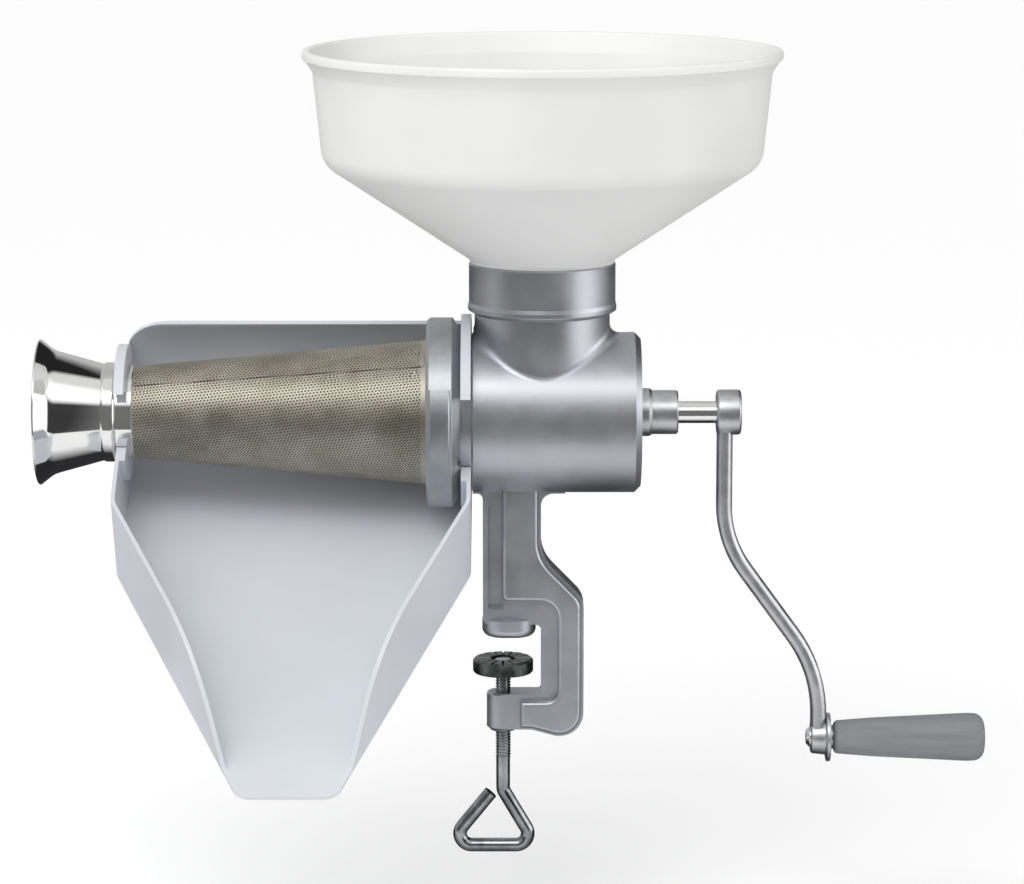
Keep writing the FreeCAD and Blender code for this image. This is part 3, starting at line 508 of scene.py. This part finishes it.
def rounded(piece, width, segments, angle):
    """Rounds a piece's edges by a live bevel, where they turn by more than the angle."""
    bevel = piece.modifiers.new("edges", "BEVEL")
    bevel.width = width * MM
    bevel.segments = segments
    bevel.limit_method = "ANGLE"
    bevel.angle_limit = math.radians(angle)


def coat(build, *nodes):
    """Gives CAD nodes that stay in the scene their material."""
    for node in nodes:
        mesh = frame["nodes"][node].data
        mesh.materials.clear()
        mesh.materials.append(finish(build))


def look():
    return bpy.context.scene.strainer_look


def colour_property(name, description, default):
    return bpy.props.FloatVectorProperty(
        name=name, description=description, subtype="COLOR", size=4, min=0.0, max=1.0,
        default=default)


def length_property(name, description, millimetres):
    return bpy.props.FloatProperty(
        name=name, description=description, subtype="DISTANCE", unit="LENGTH", precision=5,
        min=0.0, default=millimetres * MM)


class StrainerLook(bpy.types.PropertyGroup):
    """Colours and fine sizes of the strainer"""
    cast: colour_property(
        "Casting", "Colour of the cast body", tone(190, 193, 198))
    ring: colour_property(
        "Locking ring", "Colour of the locking ring", tone(186, 190, 194))
    screen: colour_property(
        "Screen", "Colour of the screen's sheet", tone(196, 191, 178))
    screen_dark: colour_property(
        "Screen stains", "Darker patches of the screen", tone(160, 155, 140))
    bright: colour_property(
        "Polished steel", "Colour of the flare, band, shaft and pin", tone(222, 222, 222))
    hopper: colour_property(
        "Hopper", "Colour of the hopper's plastic", tone(228, 228, 227))
    # Darker than the hopper's white: painted shade of the chute's floor.
    chute: colour_property(
        "Chute", "Colour of the chute's plastic", tone(206, 209, 216))
    grip: colour_property(
        "Grip", "Colour of the handle's grip", tone(132, 134, 138))
    hole_size: length_property(
        "Hole size", "Width of one hole of the screen", 0.9)
    hole_pitch: length_property(
        "Hole pitch", "Distance between neighbouring holes in a row", 1.7)
    thread_pitch: length_property(
        "Thread pitch", "Pitch of the clamp screw's thread", 1.5)


class MakeHopper(bpy.types.Operator):
    """Moulded white bowl with a thick rim"""
    bl_idname = "strainer.hopper"
    bl_label = "Hopper"

    def execute(self, context):
        low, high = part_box("hopper")
        centre = (low.x + high.x) / 2 / MM
        rim = (high.x - low.x) / 2 / MM
        bottom = low.z / MM
        top = high.z / MM
        wall = 2.4
        spigot = 32.9           # fits the casting's collar
        throat = 30.5           # bore of the spigot
        shoulder = 36.0         # rests on the collar's edge
        foot = 108.6            # outside of the bowl's wall where the cone meets it
        head = 113.2            # and just under the rim
        rest = bottom + 18.5    # underside of the shoulder
        cone = bottom + 20.0    # where the cone starts
        bend = top - 55.5       # where it ends
        neck = top - 10.5       # where the wall flares out to the rim
        edge = top - 4.2        # underside of the rim
        shape = Shape()
        shape.upright([
            (bottom, spigot, 0.5),
            (rest - 0.1, spigot, 0),
            (rest, shoulder, 0.4),
            (cone, shoulder, 0.5),
            (bend, foot, 12),
            (neck, head, 3),
            (edge - 0.4, rim - 1.2, 1.2),
            (edge, rim, 0.6),
            (top - 0.3, rim, 1.0),
            (top, rim - 1.5, 0.8),
            (top, head + 1.4, 1.4),
            (neck, head - wall, 4),
            (bend + 1.3, foot - wall, 10),
            (cone + 1.5, throat + 0.1, 4),
            (bottom, throat, 0.5)], centre, FINE_SPOKES)
        shape.piece("hopper_bowl", "hopper", "white_plastic", hopper_plastic, "hopper")
        return {"FINISHED"}


class MakeChute(bpy.types.Operator):
    """Moulded hood, floor and side walls with two snap clips"""
    bl_idname = "strainer.chute"
    bl_label = "Chute"

    def execute(self, context):
        shape = Shape()
        shape.copy_of("chute")
        piece = shape.piece("chute_moulding", "chute", "white_plastic", chute_plastic_painted_shade, "chute",
                            recalculate=False)
        rounded(piece, width=0.7, segments=2, angle=40)
        return {"FINISHED"}


class MakeCasting(bpy.types.Operator):
    """Barrel, neck, collar and clamp leg in one casting"""
    bl_idname = "strainer.casting"
    bl_label = "Casting"

    def execute(self, context):
        coat(cast_metal, "body_casting")
        coat(plated_steel, "bayonet_studs")
        return {"FINISHED"}


class MakeRing(bpy.types.Operator):
    """Locking ring that turns onto the barrel's studs"""
    bl_idname = "strainer.locking_ring"
    bl_label = "Locking ring"

    def execute(self, context):
        coat(ring_metal, "locking_ring")
        return {"FINISHED"}


class MakeScreen(bpy.types.Operator):
    """Perforated cone with its seam and its end collar"""
    bl_idname = "strainer.screen"
    bl_label = "Screen"

    def execute(self, context):
        coat(perforated_steel, "screen_cone")
        coat(polished_steel, "screen_band")
        return {"FINISHED"}


class MakeFlare(bpy.types.Operator):
    """Polished flare where the skins come out"""
    bl_idname = "strainer.exit_flare"
    bl_label = "Exit flare"

    def execute(self, context):
        low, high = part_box("exit_flare")
        lip = low.x / MM
        root = high.x / MM      # where the flare meets the screen's end collar
        flange = 24.8
        bore = 22.0
        neck = root - 7.0       # where the flange ends and the cone starts
        shape = Shape()
        shape.along_shaft([
            (root, bore + 0.4, 0),
            (root, flange, 1.6),
            (neck + 0.9, flange, 1.8),
            (neck, flange - 0.7, 0.6),
            (-224.5, 31.0, 12),
            (lip + 0.8, 36.3, 0.3),
            (lip, 36.0, 0.3),
            (lip + 0.1, 35.4, 0.2),
            (-224.7, 30.0, 12),
            (neck, bore + 1.2, 2),
            (neck + 1.0, bore, 0)], spokes=FINE_SPOKES)
        shape.piece("flare", "screen", "bright_steel", polished_steel, "exit_flare")
        return {"FINISHED"}


class MakeShaft(bpy.types.Operator):
    """Bushing and shaft"""
    bl_idname = "strainer.shaft"
    bl_label = "Shaft and bushing"

    def execute(self, context):
        coat(satin_steel, "shaft_bushing")
        coat(polished_steel, "drive_shaft")
        return {"FINISHED"}


class MakeCrank(bpy.types.Operator):
    """S curved arm with an eye at each end"""
    bl_idname = "strainer.crank"
    bl_label = "Crank arm"

    def execute(self, context):
        low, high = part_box("crank_arm")
        left = low.x / MM
        right = high.x / MM
        shaft_z = SHAFT_Z / MM
        pin_z = PIN_Z / MM
        start_x = 110.3         # the arm's upper straight
        end_x = 159.0           # and its lower one
        embedded = 4.0          # from an eye's middle to the arm's end inside it
        shape = Shape()
        section = shape.section(
            start_x, shaft_z - embedded, half_wide=3.9, half_deep=6.5, rounding=3.7)
        shape.sweep(section, [
            (start_x, shaft_z - embedded, 0),
            (start_x, shaft_z - 65.4, 56.0),
            (end_x, shaft_z - 132.2, 70.0),
            (end_x, pin_z + embedded, 0)], arc_step=4.0)
        shaft_bore = 5.6
        shaft_eye = 11.3
        shaft_eye_end = left + 12.3
        shape.along_shaft([
            (left, shaft_bore, 0.3), (left, shaft_eye, 1.6),
            (shaft_eye_end, shaft_eye, 1.6), (shaft_eye_end, shaft_bore, 0.3)])
        pin_bore = 3.3
        boss = 8.2              # the lower eye's boss widens to its collar
        collar = 12.4
        boss_left = right - 9.9
        collar_left = right - 2.1
        shape.along_shaft([
            (boss_left, pin_bore, 0), (boss_left, boss, 1.2), (collar_left - 0.1, boss + 0.8, 0.8),
            (collar_left, collar - 0.1, 0.6), (right, collar, 0.6), (right, pin_bore, 0)],
            height=pin_z)
        shape.piece("crank_arm_forged", "spindle", "bright_steel", satin_steel, "crank_arm")
        coat(plated_steel, "crank_set_screw")
        return {"FINISHED"}


class MakeHandle(bpy.types.Operator):
    """Tapered grip on its riveted pin"""
    bl_idname = "strainer.handle"
    bl_label = "Handle"

    def execute(self, context):
        low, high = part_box("handle_grip")
        left = low.x / MM
        right = high.x / MM
        bore = 3.35
        recess = 6.2            # hollow in the end, round the pin's head
        recess_left = right - 6.0
        shape = Shape()
        shape.along_shaft([
            (left, bore, 0), (left, 8.3, 2.4), (left + 19.0, 9.8, 60), (right - 9.0, 12.15, 30),
            (right - 0.2, 11.8, 5.5), (right, recess + 0.2, 0.8), (recess_left, recess, 0),
            (recess_left, bore, 0)], height=(low.z + high.z) / 2 / MM)
        shape.piece("grip_moulding", "grip", "grey_plastic", grip_plastic, "handle_grip")
        coat(polished_steel, "handle_pin")
        coat(plated_steel, "handle_washer")
        return {"FINISHED"}


class MakeClamp(bpy.types.Operator):
    """Looped clamp screw and its toothed pad"""
    bl_idname = "strainer.clamp"
    bl_label = "Clamp"

    def execute(self, context):
        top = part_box("clamp_screw")[1].z / MM
        low_pad, high_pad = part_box("clamp_pad")
        centre = (low_pad.x + high_pad.x) / 2 / MM
        foot = low_pad.z / MM
        neck = 2.6              # turns in the pad
        rivet = 4.6             # head of the neck, in the pad's recess
        rivet_foot = top - 1.9
        core = 3.3              # of the threaded length
        crest = 3.85
        rod = 3.5
        thread_end = -64.0
        loop_start = thread_end + 1.0
        loop_foot = -109.5
        shape = Shape()
        shape.upright([
            (top, 0, 0), (top, rivet, 1.1), (rivet_foot, rivet, 0.2), (rivet_foot, neck, 0),
            (foot, neck, 0), (foot, core, 0.3), (thread_end, core, 0), (thread_end, 0, 0)],
            centre, ROD_SPOKES)
        shape.thread(centre, thread_end, foot - 0.2, core - 0.2, crest, look().thread_pitch / MM)
        section = shape.section(centre, loop_start, half_wide=rod, half_deep=rod, rounding=rod)
        shape.sweep(section, [
            (centre, loop_start, 0), (centre, -80.5, 5.0), (centre + 17.0, loop_foot, 6.0),
            (centre - 28.5, loop_foot, 6.0), (centre - 6.3, -82.0, 0)], arc_step=8.0)
        shape.piece("clamp_screw_rod", "screw", "screw_steel", rod_steel, "clamp_screw")
        coat(pad_iron, "clamp_pad")
        return {"FINISHED"}


class MakeInside(bpy.types.Operator):
    """Spiral, spring, seals and washers"""
    bl_idname = "strainer.inside"
    bl_label = "Inside"

    def execute(self, context):
        coat(bearing_plastic, "spiral", "thrust_washer")
        coat(plated_steel, "spiral_drive_pin", "spiral_spring")
        coat(seal_rubber, "screen_gasket", "shaft_seal")
        return {"FINISHED"}


def studio_world(graph):
    """White for the camera, soft light for matt surfaces, and for shiny ones a room of light and
    dark. All of it follows direction in the world: the camera's side is -Y."""
    x, y, z = graph.split(graph.node("ShaderNodeTexCoord", output="Generated"))
    front = graph.spread(y, -0.05, -0.35)
    behind = graph.spread(y, 0.0, 0.15)
    low = graph.spread(z, 0.46, 0.38)
    window = graph.spread(z, 0.46, 0.52) * graph.spread(z, 0.90, 0.82) * front
    side_window = graph.spread(x, 0.72, 0.80) * graph.spread(y, 0.45, 0.25) * low
    front_wall = front * low * (0.67 + graph.spread(x, 0.30, 0.42) * 0.14)
    back_wall = behind * (0.28 + graph.spread(x, 0.08, 0.20) * 0.56)
    room = 0.86 - front_wall + window * 0.55 + side_window * 2.0 - back_wall
    above = graph.spread(z, 0.12, 0.45)
    below = graph.spread(z, -0.12, -0.40)
    sides = graph.spread(graph.maths("ABSOLUTE", x), 0.3, 0.8)
    right = graph.spread(x, 0.3, 0.8)
    key = graph.spread(x * -0.25 - y * 0.68 + z * 0.69, 0.70, 0.94)
    soft = 0.06 + above * 0.20 + below * 0.55 + sides * 0.80 + right * 0.2 + key * 1.5
    path = graph.node("ShaderNodeLightPath")
    camera = path.other("Is Camera Ray")
    glossy = path.other("Is Glossy Ray")
    level = camera + (1.0 - camera) * (glossy * room + (1.0 - glossy) * soft)
    shader = graph.node("ShaderNodeBackground", inputs={"Color": WHITE, "Strength": level})
    graph.node("ShaderNodeOutputWorld", inputs={"Surface": shader})


def pale_floor(graph):
    """Floor that reads white where the light reaches it and keeps the shadow. Shiny surfaces see
    it dark from the object backwards."""
    path = graph.node("ShaderNodeLightPath")
    seen = graph.maths("MAXIMUM", path.other("Is Camera Ray"), path.other("Is Transmission Ray"))
    shine = path.other("Is Glossy Ray")
    x, y, z = graph.split(graph.place())
    pale = graph.node("ShaderNodeBsdfDiffuse", inputs={"Color": tone(236, 236, 236)})
    glow = graph.node("ShaderNodeEmission", inputs={
        "Color": WHITE, "Strength": 0.30 - seen * 0.07 - shine * 0.10})
    lit = graph.node("ShaderNodeAddShader", inputs={0: pale, 1: glow})
    dark = graph.node("ShaderNodeBsdfDiffuse", inputs={"Color": tone(52, 52, 54)})
    mixed = graph.node("ShaderNodeMixShader", inputs={
        0: shine * graph.spread(y, -0.12, 0.03), 1: lit, 2: dark})
    graph.node("ShaderNodeOutputMaterial", inputs={"Surface": mixed})


class MakeStage(bpy.types.Operator):
    """Floor, light and the camera at the photograph's angle"""
    bl_idname = "strainer.stage"
    bl_label = "Stage"

    def execute(self, context):
        self.lay_floor(context.scene, half=6.0, front=-0.42, height=-0.16)
        world = bpy.data.worlds.new("studio")
        world.use_nodes = True
        studio_world(Graph(world.node_tree))
        context.scene.world = world
        self.hang_softbox(context.scene, place=(-0.4, -1.3, 1.5), target=(0, 0, 0.1),
                          size=(1.0, 0.7), watts=8)
        self.set_camera(context.scene, place=(0.004, -1.96839, 0.45297), tilt=79.8, lens=140.6)
        context.scene.view_settings.view_transform = "Standard"
        return {"FINISHED"}

    def lay_floor(self, scene, half, front, height):
        bm = bmesh.new()
        bmesh.ops.create_grid(bm, x_segments=1, y_segments=1, size=half)
        bmesh.ops.translate(bm, verts=bm.verts[:], vec=(0, half + front, height))
        mesh = bpy.data.meshes.new("floor")
        bm.to_mesh(mesh)
        bm.free()
        mesh.materials.append(finish(pale_floor))
        floor = bpy.data.objects.new("floor", mesh)
        scene.collection.objects.link(floor)

    def hang_softbox(self, scene, place, target, size, watts):
        light = bpy.data.lights.new("key", "AREA")
        light.shape = "RECTANGLE"
        light.size, light.size_y = size
        light.energy = watts
        lamp = bpy.data.objects.new("key", light)
        lamp.location = place
        aim = Vector(target) - Vector(place)
        lamp.rotation_euler = aim.to_track_quat("-Z", "Y").to_euler()
        scene.collection.objects.link(lamp)

    def set_camera(self, scene, place, tilt, lens):
        camera = bpy.data.cameras.new("camera")
        camera.sensor_width = 36.0
        camera.lens = lens
        camera.clip_end = 50.0
        view = bpy.data.objects.new("camera", camera)
        view.location = place
        view.rotation_euler = (math.radians(tilt), 0, 0)
        scene.collection.objects.link(view)
        scene.camera = view


OPERATORS = (MakeHopper, MakeChute, MakeCasting, MakeRing, MakeScreen, MakeFlare, MakeShaft,
             MakeCrank, MakeHandle, MakeClamp, MakeInside, MakeStage)


class StrainerPanel(bpy.types.Panel):
    """Lists the strainer's settings and pieces"""
    bl_idname = "VIEW3D_PT_strainer"
    bl_label = "Tomato strainer"
    bl_space_type = "VIEW_3D"
    bl_region_type = "UI"
    bl_category = "Strainer"

    def draw(self, context):
        for name in StrainerLook.__annotations__:
            self.layout.prop(context.scene.strainer_look, name)
        for operator in OPERATORS:
            self.layout.operator(operator.bl_idname)


CLASSES = (StrainerLook,) + OPERATORS + (StrainerPanel,)


def register():
    for item in CLASSES:
        bpy.utils.register_class(item)
    bpy.types.Scene.strainer_look = bpy.props.PointerProperty(type=StrainerLook)


def unregister():
    del bpy.types.Scene.strainer_look
    for item in reversed(CLASSES):
        bpy.utils.unregister_class(item)


def main():
    register()
    for operator in OPERATORS:
        group, name = operator.bl_idname.split(".")
        getattr(getattr(bpy.ops, group), name)()


if __name__ == "__main__":
    main()
